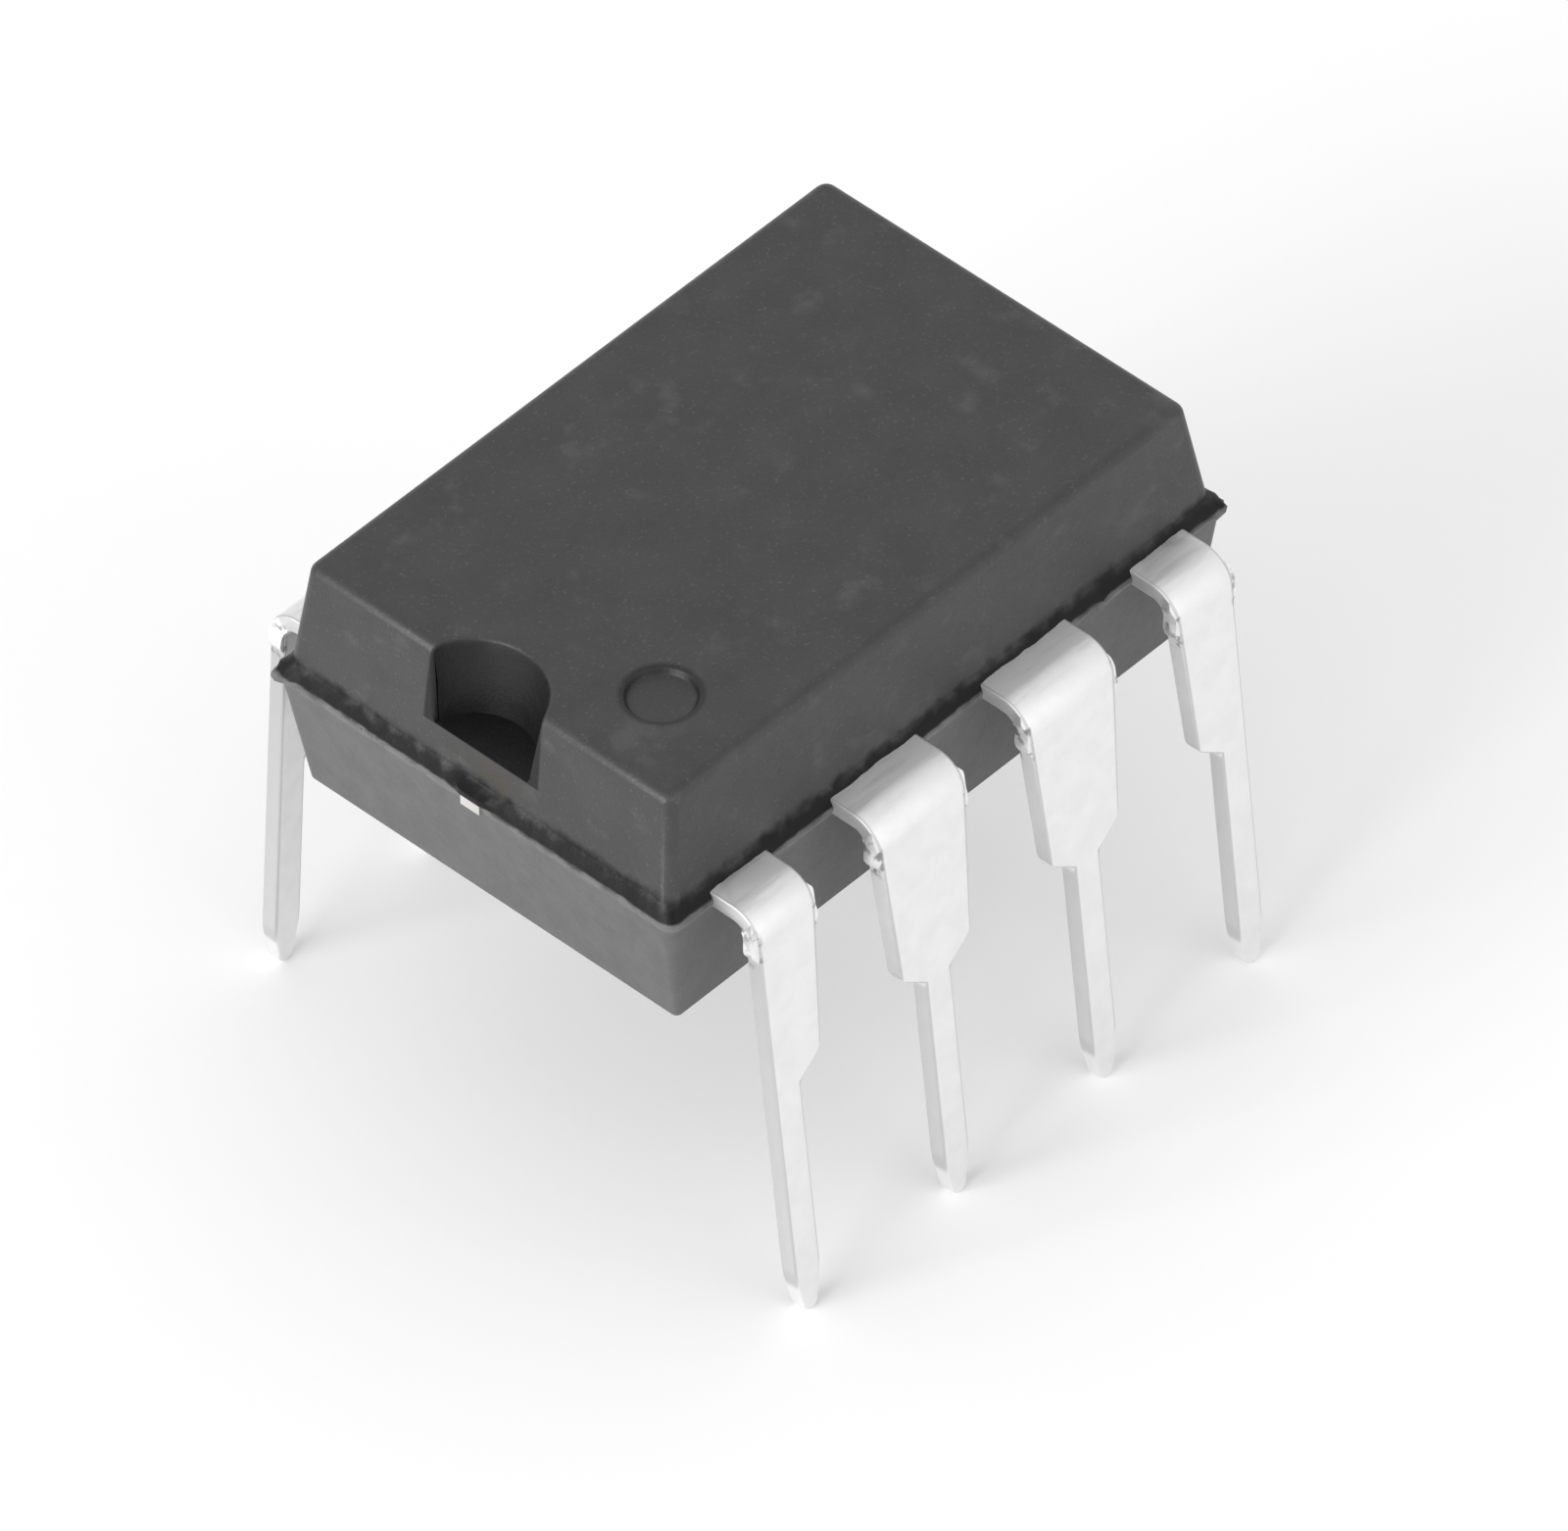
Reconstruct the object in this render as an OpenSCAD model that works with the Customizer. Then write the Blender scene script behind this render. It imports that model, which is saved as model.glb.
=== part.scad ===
// Eight-lead dual in-line integrated circuit in a moulded plastic body.
//
// The origin is under the middle of the body, on the plane of the lead tips. +X runs from the
// notched end to the other end and +Z points up, so pins 1 to 4 stand along the -Y side and
// pins 5 to 8 come back along the +Y side.
//
// Inside, a stamped lead frame lies in the mould's parting plane: eight lead fingers around a
// paddle that hangs lower on its two tie bars. The silicon die is glued to the paddle, and one
// bond wire runs from it to each finger. The moulding fills all the space between them, so every
// inner piece meets the body face to face.

/* [Moulded body] */
// Length of the body at the parting plane
body_len = 9.40; // [8.9:0.05:14]
// Width of the body at the parting plane
body_wid = 6.35; // [5.2:0.05:9]
// Height of the upper half
upper_h = 1.70; // [1.35:0.05:3]
// Height of the lower half
lower_h = 1.77; // [0.8:0.05:3]
// Ledge by which the lower half stands out beyond the upper half
ledge = 0.08; // [0.02:0.01:0.2]
// How far each end wall of the upper half leans in by its top edge
upper_lean_end = 0.24; // [0.1:0.01:0.5]
// How far each long wall of the upper half leans in by its top edge
upper_lean_side = 0.21; // [0.1:0.01:0.5]
// How far each end wall of the lower half leans in by its bottom edge
lower_lean_end = 0.26; // [0.1:0.01:0.5]
// How far each long wall of the lower half leans in by its bottom edge
lower_lean_side = 0.22; // [0.1:0.01:0.5]
// Radius of the four upright corners
corner_r = 0.16; // [0.05:0.01:0.3]

/* [Orientation marks] */
// Radius of the round end notch at the top face
notch_r = 0.92; // [0.7:0.01:1.2]
// Distance of the notch's axis beyond the end edge of the top face
notch_set = 0.28; // [0:0.01:0.4]
// Depth of the end notch
notch_depth = 1.04; // [0.3:0.01:1.15]
// How much smaller the notch's radius is at its floor
notch_taper = 0.17; // [0:0.01:0.25]
// Diameter of the pin 1 dimple at the top face
dimple_d = 0.90; // [0.5:0.05:1.4]
// Depth of the pin 1 dimple
dimple_depth = 0.10; // [0.05:0.01:0.3]
// Distance from the dimple's centre to the notched end at the parting plane
dimple_from_end = 1.52; // [1.2:0.01:3]
// Distance from the dimple's centre to the pin 1 side at the parting plane
dimple_from_side = 1.54; // [1.2:0.01:2]

/* [Leads] */
// Spacing of the leads along one side
pitch = 2.54; // [2:0.01:2.6]
// Thickness of the lead frame
frame_t = 0.23; // [0.2:0.01:0.36]
// Height of the parting plane above the lead tips
seat_h = 6.11; // [4.5:0.01:8]
// Width of a lead's narrow leg
leg_w = 0.42; // [0.36:0.01:0.56]
// Full width of a lead's shoulder at the bend
shoulder_w = 1.46; // [1.14:0.01:1.78]
// Full width of a shoulder at its lower end, where its chamfers start
shoulder_foot_w = 1.17; // [0.8:0.01:1.3]
// Depth of the shoulder's lower end below the parting plane
shoulder_drop = 2.38; // [1.5:0.01:3]
// Height of the chamfers between the shoulder and the leg
shoulder_chamfer = 0.26; // [0.1:0.01:0.6]
// Length of flat lead between the body and the bend
lead_reach = 0.309; // [0.1:0.001:0.8]
// Inside radius of the bend
bend_r = 0.20; // [0.1:0.01:0.5]
// Outward splay of the legs, in degrees
splay = 4.6; // [0:0.1:10]
// Length of the tapered tip
tip_len = 0.60; // [0.3:0.01:0.8]
// Width of the rounded end of the tip
tip_w = 0.24; // [0.1:0.01:0.34]

/* [Lead frame inside the body] */
// Length of full-width finger inside the body wall
root_len = 0.60; // [0.45:0.01:0.8]
// Length over which a middle finger narrows
finger_taper = 0.40; // [0.1:0.01:0.5]
// Width of a finger at its tip
finger_w = 0.70; // [0.3:0.01:0.9]
// Gap between the fingers and the paddle or its tie bars
frame_gap = 0.25; // [0.15:0.01:0.4]
// Diameter of the hole that locks each finger in the moulding
lock_d = 0.36; // [0.2:0.01:0.44]
// Depth of the lock hole's centre inside the body wall
lock_in = 0.36; // [0.3:0.01:0.5]
// Length of the die paddle
paddle_len = 3.50; // [2.6:0.05:4.4]
// Width of the die paddle
paddle_wid = 2.30; // [1.8:0.05:2.8]
// Distance by which the paddle lies below the fingers
paddle_drop = 0.25; // [0.1:0.01:0.4]
// Width of the tie bars
tie_w = 0.30; // [0.2:0.01:0.5]
// Length of flat paddle level on each tie bar before it rises
tie_flat = 0.12; // [0.05:0.01:0.3]
// Length of cut tie bar that stands out of each end wall
tie_stub = 0.04; // [0.01:0.01:0.1]

/* [Die and bond wires] */
// Length of the silicon die
die_len = 2.00; // [1.2:0.05:2.5]
// Width of the silicon die
die_wid = 1.50; // [1.1:0.05:1.7]
// Thickness of the silicon die
die_t = 0.30; // [0.15:0.01:0.4]
// Thickness of the adhesive under the die
glue_t = 0.03; // [0.02:0.01:0.06]
// How far the adhesive shows around the die
glue_rim = 0.05; // [0.01:0.01:0.1]
// Distance of the bond pads' centres from the die's edges
pad_inset = 0.12; // [0.08:0.01:0.2]
// Distance from the die's middle to a middle lead's pad, along its long edge
pad_mid_x = 0.55; // [0.3:0.01:0.6]
// Distance from the die's middle to a corner lead's pad, along its short edge
pad_end_y = 0.36; // [0.2:0.01:0.4]
// Diameter of the bond wires
wire_d = 0.05; // [0.03:0.005:0.08]
// Diameter of the ball at a wire's die end
ball_d = 0.12; // [0.09:0.01:0.15]
// Thickness of the ball after bonding
ball_t = 0.03; // [0.02:0.005:0.05]
// Height of upright wire over the ball
wire_neck = 0.10; // [0.05:0.01:0.3]
// Radius of the wire's turn from upright to sloping
wire_turn = 0.10; // [0.06:0.01:0.2]
// Length of the flattened stitch at a wire's finger end
stitch_len = 0.14; // [0.08:0.01:0.2]
// Width of the flattened stitch
stitch_w = 0.09; // [0.06:0.01:0.14]
// Thickness of the flattened stitch
stitch_t = 0.02; // [0.015:0.005:0.03]
// Distance from a finger's tip to the middle of its stitch
stitch_in = 0.20; // [0.12:0.01:0.3]

/* [Hidden] */
$fn = 64;
pins_per_side = 4;
pin_count = 2 * pins_per_side;

// Extra length of a cutter beyond the face that it breaks through
past = 0.5;

// Colours of the materials
epoxy_colour = [0.24, 0.24, 0.25];
tin_colour = [0.86, 0.87, 0.88];
frame_colour = [0.78, 0.77, 0.75];
glue_colour = [0.70, 0.70, 0.68];
silicon_colour = [0.35, 0.37, 0.45];
gold_colour = [0.95, 0.76, 0.33];

// Half sizes of the upper half at the parting plane and at the top face
upper_half_len = body_len / 2 - ledge;
upper_half_wid = body_wid / 2 - ledge;
top_half_len = upper_half_len - upper_lean_end;

// The bend: its outside radius, and its centre seen along a row, outwards and upwards
bend_out_r = bend_r + frame_t;
bend_y = body_wid / 2 + lead_reach;
bend_z = frame_t / 2 - bend_out_r;

// Lengths along the leg's outer face, counted from the end of the bend
leg_len = (seat_h + bend_z + bend_r * sin(splay)) / cos(splay);
shoulder_len = (shoulder_drop + bend_z + bend_out_r * sin(splay)) / cos(splay);

// Places inside the body, seen from above
root_y = body_wid / 2 - root_len;
mid_tip_y = paddle_wid / 2 + frame_gap;
corner_tip_x = paddle_len / 2 + frame_gap;
corner_tip_y = tie_w / 2 + frame_gap;

// Heights from the parting plane
finger_top_z = frame_t / 2;
paddle_top_z = finger_top_z - paddle_drop;
glue_top_z = paddle_top_z + glue_t;
die_top_z = glue_top_z + die_t;

// Sides of a bond wire's section, and steps in its turn
wire_sides = 8;
turn_steps = 6;

// ---------------------------------------------------------------- places of the pins

// Pins 1 to 4 are on the -Y side and count along +X, pins 5 to 8 on the +Y side count back.
function side_of(n) = n <= pins_per_side ? -1 : 1;
function row_place(n) = n <= pins_per_side ? n - 1 : pin_count - n;
function pin_x(n) = (row_place(n) - (pins_per_side - 1) / 2) * pitch;
function is_corner(n) = row_place(n) == 0 || row_place(n) == pins_per_side - 1;
function end_of(n) = pin_x(n) < 0 ? -1 : 1;

// ---------------------------------------------------------------- body

// Cuts a block's upright corner edge round. The edge rises from the origin to (-lean_x, -lean_y,
// height), between a wall that faces +X and one that faces +Y.
module corner_cutter(lean_x, lean_y, height, radius) {
  edge = [-lean_x, -lean_y, height];
  tilt = acos(height / norm(edge));
  turn = atan2(edge.y, edge.x);
  wall_x = [height, 0, lean_x] / norm([height, 0, lean_x]);
  wall_y = [0, height, lean_y] / norm([0, height, lean_y]);
  across_1 = [cos(tilt) * cos(turn), cos(tilt) * sin(turn), -sin(tilt)];
  across_2 = [-sin(turn), cos(turn), 0];
  normal_x = [wall_x * across_1, wall_x * across_2];
  normal_y = [wall_y * across_1, wall_y * across_2];
  centre = -radius / (1 + wall_x * wall_y) * (normal_x + normal_y);
  rotate([0, tilt, turn])
    linear_extrude(3 * norm(edge), center = true)
      difference() {
        polygon([
          centre,
          centre + (radius + past) * normal_x,
          past * (normal_x + normal_y),
          centre + (radius + past) * normal_y
        ]);
        translate(centre) circle(radius);
      }
}

// A block that stands on the parting plane, with leaning walls and round upright corners.
module drafted_block(half_x, half_y, height, lean_x, lean_y) {
  difference() {
    intersection() {
      rotate([90, 0, 0])
        linear_extrude(2 * half_y + past, center = true)
          polygon([[-half_x, 0], [half_x, 0], [half_x - lean_x, height], [lean_x - half_x, height]]);
      rotate([90, 0, 90])
        linear_extrude(2 * half_x + past, center = true)
          polygon([[-half_y, 0], [half_y, 0], [half_y - lean_y, height], [lean_y - half_y, height]]);
    }
    for (flip_x = [0, 1], flip_y = [0, 1])
      mirror([flip_x, 0, 0])
        mirror([0, flip_y, 0])
          translate([half_x, half_y, 0])
            corner_cutter(lean_x, lean_y, height, corner_r);
  }
}

// The round notch in the top edge of the -X end, open to the top and to the end wall.
module end_notch() {
  slope = notch_taper / notch_depth;
  translate([-top_half_len - notch_set, 0, upper_h - notch_depth])
    cylinder(h = notch_depth + past, r1 = notch_r - notch_taper, r2 = notch_r + slope * past);
}

// The shallow round dimple next to pin 1.
module pin_1_dimple() {
  translate([dimple_from_end - body_len / 2, dimple_from_side - body_wid / 2, upper_h - dimple_depth])
    cylinder(h = 2 * dimple_depth, d1 = dimple_d - dimple_depth, d2 = dimple_d + dimple_depth);
}

module body_shape() {
  difference() {
    union() {
      drafted_block(upper_half_len, upper_half_wid, upper_h, upper_lean_end, upper_lean_side);
      mirror([0, 0, 1])
        drafted_block(body_len / 2, body_wid / 2, lower_h, lower_lean_end, lower_lean_side);
    }
    end_notch();
    pin_1_dimple();
  }
}

module moulded_body() {
  color(epoxy_colour)
    difference() {
      body_shape();
      for (n = [1 : pin_count]) pin(n);
      die_paddle();
      die_attach();
      silicon_die();
      for (n = [1 : pin_count]) bond_wire(n);
    }
}

// ---------------------------------------------------------------- leads

// Outline of a leg from the end of the bend (y = 0) down to its tip. The tapered shoulder stands
// out on the inner side (+X here), and on the outer side too unless it is a corner lead.
module leg_outline(corner) {
  leg_half = leg_w / 2;
  inner_half = shoulder_w / 2;
  inner_foot = shoulder_foot_w / 2;
  outer_half = corner ? leg_half : inner_half;
  outer_foot = corner ? leg_half : inner_foot;
  outer_chamfer = corner ? 0 : shoulder_chamfer;
  tip_r = tip_w / 2;
  polygon([
    [-outer_half, 0],
    [inner_half, 0],
    [inner_foot, -shoulder_len],
    [leg_half, -shoulder_len - shoulder_chamfer],
    [leg_half, tip_len - leg_len],
    [tip_r, tip_r - leg_len],
    [-tip_r, tip_r - leg_len],
    [-leg_half, tip_len - leg_len],
    [-leg_half, -shoulder_len - outer_chamfer],
    [-outer_foot, -shoulder_len]
  ]);
  translate([0, tip_r - leg_len]) circle(tip_r);
}

// The bend, seen along the row: outwards is +X here and upwards is +Y.
module bend_section() {
  reach = 2 * bend_out_r;
  intersection() {
    difference() {
      circle(bend_out_r);
      circle(bend_r);
    }
    polygon([[0, 0], [0, reach], [reach, reach], reach * [cos(splay), sin(splay)]]);
  }
}

// Plan of a middle lead's flat part: from the bend straight in to the paddle's long edge.
module middle_plan() {
  half = shoulder_w / 2;
  tip_half = finger_w / 2;
  polygon([
    [-half, bend_y],
    [half, bend_y],
    [half, root_y],
    [tip_half, root_y - finger_taper],
    [tip_half, mid_tip_y],
    [-tip_half, mid_tip_y],
    [-tip_half, root_y - finger_taper],
    [-half, root_y]
  ]);
}

// Plan of a corner lead's flat part, which slants in to the paddle's short edge. The lead's own
// centre line is x = 0, and the body's middle lies towards +X.
module corner_plan(lead_from_middle) {
  tip_near = lead_from_middle - corner_tip_x;
  tip_far = tip_near - finger_w;
  polygon([
    [-leg_w / 2, bend_y],
    [shoulder_w / 2, bend_y],
    [shoulder_w / 2, root_y],
    [tip_near, mid_tip_y],
    [tip_near, corner_tip_y],
    [tip_far, corner_tip_y],
    [tip_far, (mid_tip_y + corner_tip_y) / 2],
    [-leg_w / 2, root_y]
  ]);
}

// One lead with its centre line at x = 0, on the +Y side, with the body's middle towards +X.
module lead(corner, lead_from_middle) {
  outer_half = corner ? leg_w / 2 : shoulder_w / 2;
  width = outer_half + shoulder_w / 2;
  hole_x = (shoulder_w / 2 - outer_half) / 2;
  difference() {
    translate([0, 0, -frame_t / 2])
      linear_extrude(frame_t)
        if (corner) corner_plan(lead_from_middle);
        else middle_plan();
    translate([hole_x, body_wid / 2 - lock_in, -frame_t])
      cylinder(h = 2 * frame_t, d = lock_d);
  }
  translate([-outer_half, bend_y, bend_z])
    rotate([90, 0, 90])
      linear_extrude(width)
        bend_section();
  translate([0, bend_y, bend_z])
    rotate([splay, 0, 0])
      translate([0, bend_out_r, 0])
        rotate([90, 0, 0])
          linear_extrude(frame_t)
            leg_outline(corner);
}

module pin(n) {
  color(tin_colour)
    translate([pin_x(n), 0, 0])
      mirror([end_of(n) > 0 ? 1 : 0, 0, 0])
        mirror([0, side_of(n) < 0 ? 1 : 0, 0])
          lead(is_corner(n), abs(pin_x(n)));
}

// ---------------------------------------------------------------- die and its paddle

// Side view of the tie bar at the +X end: it leaves the paddle, rises to the level of the
// fingers and ends just outside the body.
module tie_bar_side() {
  rise_start = paddle_len / 2 + tie_flat;
  rise_end = rise_start + paddle_drop;
  stub_end = body_len / 2 + tie_stub;
  polygon([
    [0, paddle_top_z - frame_t],
    [rise_start, paddle_top_z - frame_t],
    [rise_end, finger_top_z - frame_t],
    [stub_end, finger_top_z - frame_t],
    [stub_end, finger_top_z],
    [rise_end, finger_top_z],
    [rise_start, paddle_top_z],
    [0, paddle_top_z]
  ]);
}

module die_paddle() {
  color(frame_colour) {
    translate([-paddle_len / 2, -paddle_wid / 2, paddle_top_z - frame_t])
      cube([paddle_len, paddle_wid, frame_t]);
    for (flip = [0, 1])
      mirror([flip, 0, 0])
        rotate([90, 0, 0])
          linear_extrude(tie_w, center = true)
            tie_bar_side();
  }
}

module die_attach() {
  length = die_len + 2 * glue_rim;
  width = die_wid + 2 * glue_rim;
  color(glue_colour)
    translate([-length / 2, -width / 2, paddle_top_z])
      cube([length, width, glue_t]);
}

module silicon_die() {
  color(silicon_colour)
    translate([-die_len / 2, -die_wid / 2, glue_top_z])
      cube([die_len, die_wid, die_t]);
}

// ---------------------------------------------------------------- bond wires

// Where a pin's wire starts on the die, and where it ends on the finger, seen from above.
function pad_place(n) = is_corner(n)
  ? [end_of(n) * (die_len / 2 - pad_inset), side_of(n) * pad_end_y]
  : [end_of(n) * pad_mid_x, side_of(n) * (die_wid / 2 - pad_inset)];
function stitch_place(n) = is_corner(n)
  ? [end_of(n) * (corner_tip_x + stitch_in), side_of(n) * (corner_tip_y + stitch_in)]
  : [pin_x(n), side_of(n) * (mid_tip_y + stitch_in)];

// The wire's centre line, in the upright plane through its two ends: up from the ball, over a
// round turn, straight down a slope that is tangent to it, and flat along the finger.
function wire_path(span, fall) =
  let (
    turn_centre = [wire_turn, ball_t + wire_neck],
    landing = [span - stitch_len / 2, wire_d / 2 - fall],
    aim = landing - turn_centre,
    last_angle = atan2(aim.y, aim.x) + acos(wire_turn / norm(aim))
  )
  [
    [0, ball_t / 2],
    for (k = [0 : turn_steps])
      let (angle = 180 + (last_angle - 180) * k / turn_steps)
        turn_centre + wire_turn * [cos(angle), sin(angle)],
    landing,
    [span + stitch_len / 4, wire_d / 2 - fall]
  ];

function unit(v) = v / norm(v);

// Direction of the path at point k, and how much a mitre there lengthens the section.
function way_in(path, k) = unit(path[max(k, 1)] - path[max(k, 1) - 1]);
function way_out(path, k) = unit(path[min(k, len(path) - 2) + 1] - path[min(k, len(path) - 2)]);
function way_at(path, k) = unit(way_in(path, k) + way_out(path, k));
function mitre_at(path, k) = 1 / (way_in(path, k) * way_at(path, k));

// A round wire along a path in the XZ plane.
module swept_wire(path) {
  last = len(path) - 1;
  ring_angles = [for (s = [0 : wire_sides - 1]) (s + 0.5) * 360 / wire_sides];
  points = [
    for (k = [0 : last])
      let (way = way_at(path, k), reach = wire_d / 2 * mitre_at(path, k))
        for (angle = ring_angles)
          [
            path[k].x - way.y * reach * sin(angle),
            wire_d / 2 * cos(angle),
            path[k].y + way.x * reach * sin(angle)
          ]
  ];
  sides = [
    for (k = [0 : last - 1], s = [0 : wire_sides - 1])
      let (here = k * wire_sides, next = (s + 1) % wire_sides)
        [here + s, here + next, here + wire_sides + next, here + wire_sides + s]
  ];
  first_cap = [for (s = [wire_sides - 1 : -1 : 0]) s];
  last_cap = [for (s = [0 : wire_sides - 1]) last * wire_sides + s];
  polyhedron(points, concat(sides, [first_cap, last_cap]));
}

module bond_wire(n) {
  start = pad_place(n);
  run = stitch_place(n) - start;
  span = norm(run);
  fall = die_top_z - finger_top_z;
  color(gold_colour)
    translate([start.x, start.y, die_top_z])
      rotate([0, 0, atan2(run.y, run.x)]) {
        cylinder(h = ball_t, d = ball_d, $fn = 12);
        swept_wire(wire_path(span, fall));
        translate([span - stitch_len / 2, -stitch_w / 2, -fall])
          cube([stitch_len, stitch_w, stitch_t]);
      }
}

// ---------------------------------------------------------------- the whole device

translate([0, 0, seat_h]) {
  moulded_body();
  die_paddle();
  die_attach();
  silicon_die();
  for (n = [1 : pin_count]) {
    pin(n);
    bond_wire(n);
  }
}
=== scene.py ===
"""Looks of an eight-lead dual in-line integrated circuit: moulded body, tinned leads and studio."""

import logging
import math
from collections.abc import Callable, Iterator, Sequence
from contextlib import contextmanager
from dataclasses import dataclass
from enum import Enum

import bmesh
import bpy
from bpy.types import Material, NodeSocket, Object, ShaderNode
from mathutils import Matrix, Vector, noise


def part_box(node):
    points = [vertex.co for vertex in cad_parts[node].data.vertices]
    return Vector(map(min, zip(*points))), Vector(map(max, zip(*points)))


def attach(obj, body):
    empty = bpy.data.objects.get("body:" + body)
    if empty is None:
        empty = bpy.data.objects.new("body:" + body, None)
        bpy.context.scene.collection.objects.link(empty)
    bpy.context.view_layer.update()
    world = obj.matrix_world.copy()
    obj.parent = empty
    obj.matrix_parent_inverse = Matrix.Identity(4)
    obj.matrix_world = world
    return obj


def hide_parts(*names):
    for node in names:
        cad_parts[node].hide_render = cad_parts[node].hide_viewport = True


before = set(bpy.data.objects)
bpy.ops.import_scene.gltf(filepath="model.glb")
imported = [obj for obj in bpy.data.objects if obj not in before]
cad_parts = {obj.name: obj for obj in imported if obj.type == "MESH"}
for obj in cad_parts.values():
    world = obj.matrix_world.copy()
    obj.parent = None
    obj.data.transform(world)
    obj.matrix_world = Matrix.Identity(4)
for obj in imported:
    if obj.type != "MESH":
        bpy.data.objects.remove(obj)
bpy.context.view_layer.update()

LOG = logging.getLogger("chip")

# Pieces are modelled in millimetres and brought to metres when they are finished.
MM = 0.001
ROOT_BODY = "root"

# Thickness of the lead frame, whose middle lies in the mould's parting plane.
FRAME_T = 0.23

# Sockets of a colour Mix node, whose names are shared with its other kinds.
FIRST_COLOUR, SECOND_COLOUR, MIXED_COLOUR = 6, 7, 2


# ---------------------------------------------------------------- modelling


def box_mm(node: str) -> tuple[Vector, Vector]:
    """Box of a CAD node in millimetres.

    Args:
        node: Name of the CAD node.

    Returns:
        Its lowest and its highest corner.
    """
    low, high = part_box(node)
    return low / MM, high / MM


class Bench:
    """The moves by which a new piece is modelled, with its sizes in millimetres."""

    @staticmethod
    def clear() -> None:
        """Leaves edit mode and deselects everything."""
        if bpy.context.object is not None and bpy.context.object.mode != "OBJECT":
            bpy.ops.object.mode_set(mode="OBJECT")
        bpy.ops.object.select_all(action="DESELECT")

    @staticmethod
    def activate(obj: Object) -> None:
        """Makes obj the only selected object, and the active one."""
        Bench.clear()
        obj.select_set(True)
        bpy.context.view_layer.objects.active = obj

    @staticmethod
    def settle(name: str) -> Object:
        """Names the primitive just added and puts its place, turn and size into its mesh.

        Args:
            name: The new object's name.

        Returns:
            The object.
        """
        obj = bpy.context.object
        obj.name = name
        obj.data.name = name
        bpy.ops.object.transform_apply(location=True, rotation=True, scale=True)
        return obj

    @staticmethod
    def plate(name: str, size: tuple[float, float], place: Vector, upright: bool = False) -> Object:
        """Adds a flat rectangle, lying level or standing square to Y.

        Args:
            name: The new object's name.
            size: Its width along X and its other side.
            place: Its centre.
            upright: True for a rectangle whose other side runs along Z.

        Returns:
            The rectangle, of one face.
        """
        Bench.clear()
        turn = (math.pi / 2, 0.0, 0.0) if upright else (0.0, 0.0, 0.0)
        bpy.ops.mesh.primitive_plane_add(size=1.0, location=place, rotation=turn)
        bpy.context.object.scale = (size[0], size[1], 1.0)
        return Bench.settle(name)

    @staticmethod
    def cone(
        name: str, radii: tuple[float, float], place: Vector, height: float, sides: int
    ) -> Object:
        """Adds an upright cone or cylinder.

        Args:
            name: The new object's name.
            radii: The radius at its foot and at its top.
            place: The centre of its foot.
            height: Its height.
            sides: How many sides it has.

        Returns:
            The cone.
        """
        Bench.clear()
        bpy.ops.mesh.primitive_cone_add(
            vertices=sides,
            radius1=radii[0],
            radius2=radii[1],
            depth=height,
            location=place + Vector((0, 0, height / 2)),
        )
        return Bench.settle(name)

    @staticmethod
    @contextmanager
    def editing(obj: Object) -> Iterator[None]:
        """Holds obj in edit mode, with all of it selected to begin with."""
        Bench.activate(obj)
        bpy.ops.object.mode_set(mode="EDIT")
        bpy.ops.mesh.select_mode(type="FACE")
        bpy.ops.mesh.select_all(action="SELECT")
        yield
        bpy.ops.object.mode_set(mode="OBJECT")

    @staticmethod
    def pick_edges(obj: Object, wanted: Callable[[bmesh.types.BMEdge], bool]) -> int:
        """Selects the edges of a mesh in edit mode that are wanted, and nothing else.

        Args:
            obj: The object in edit mode.
            wanted: Says of each edge whether it is wanted.

        Returns:
            How many were selected.
        """
        bpy.ops.mesh.select_mode(type="EDGE")
        bpy.ops.mesh.select_all(action="DESELECT")
        found = [edge for edge in bmesh.from_edit_mesh(obj.data).edges if wanted(edge)]
        for edge in found:
            edge.select_set(True)
        bmesh.update_edit_mesh(obj.data)
        return len(found)

    @staticmethod
    def extrude(move: Vector) -> None:
        """Extrudes the selected faces along a vector."""
        bpy.ops.mesh.extrude_region_move(TRANSFORM_OT_translate={"value": move})

    @staticmethod
    def resize(factors: tuple[float, float, float], about: Vector) -> None:
        """Scales what is selected about a point."""
        bpy.ops.transform.resize(value=factors, center_override=about)

    @staticmethod
    def shift(move: Vector) -> None:
        """Moves what is selected."""
        bpy.ops.transform.translate(value=move)

    @staticmethod
    def raise_to(now: Sequence[float], then: Sequence[float], height: float) -> None:
        """Extrudes a level face upwards and brings it to a new size.

        Args:
            now: The face's half sizes along X and Y.
            then: The half sizes it is to have.
            height: How far it rises.
        """
        Bench.extrude(Vector((0, 0, height)))
        Bench.resize((then[0] / now[0], then[1] / now[1], 1.0), Vector((0, 0, 0)))

    @staticmethod
    def round_off(width: float, steps: int) -> None:
        """Rounds the selected edges."""
        bpy.ops.mesh.bevel(offset=width, segments=steps, affect="EDGES", clamp_overlap=False)

    @staticmethod
    def boolean(obj: Object, tool: Object, operation: str) -> None:
        """Joins a tool to obj or cuts it away, and removes the tool.

        Args:
            obj: The object that is changed.
            tool: The object to join or to cut with.
            operation: UNION or DIFFERENCE.
        """
        Bench.activate(obj)
        step = obj.modifiers.new(name=operation.lower(), type="BOOLEAN")
        step.operation = operation
        step.object = tool
        step.solver = "EXACT"
        bpy.ops.object.modifier_apply(modifier=step.name)
        bpy.data.objects.remove(tool)

    @staticmethod
    def outward(obj: Object, merge: float = 0.0005) -> None:
        """Merges the doubles of a closed mesh and points its faces outwards."""
        with Bench.editing(obj):
            bpy.ops.mesh.remove_doubles(threshold=merge)
            bpy.ops.mesh.select_all(action="SELECT")
            bpy.ops.mesh.normals_make_consistent(inside=False)

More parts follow.
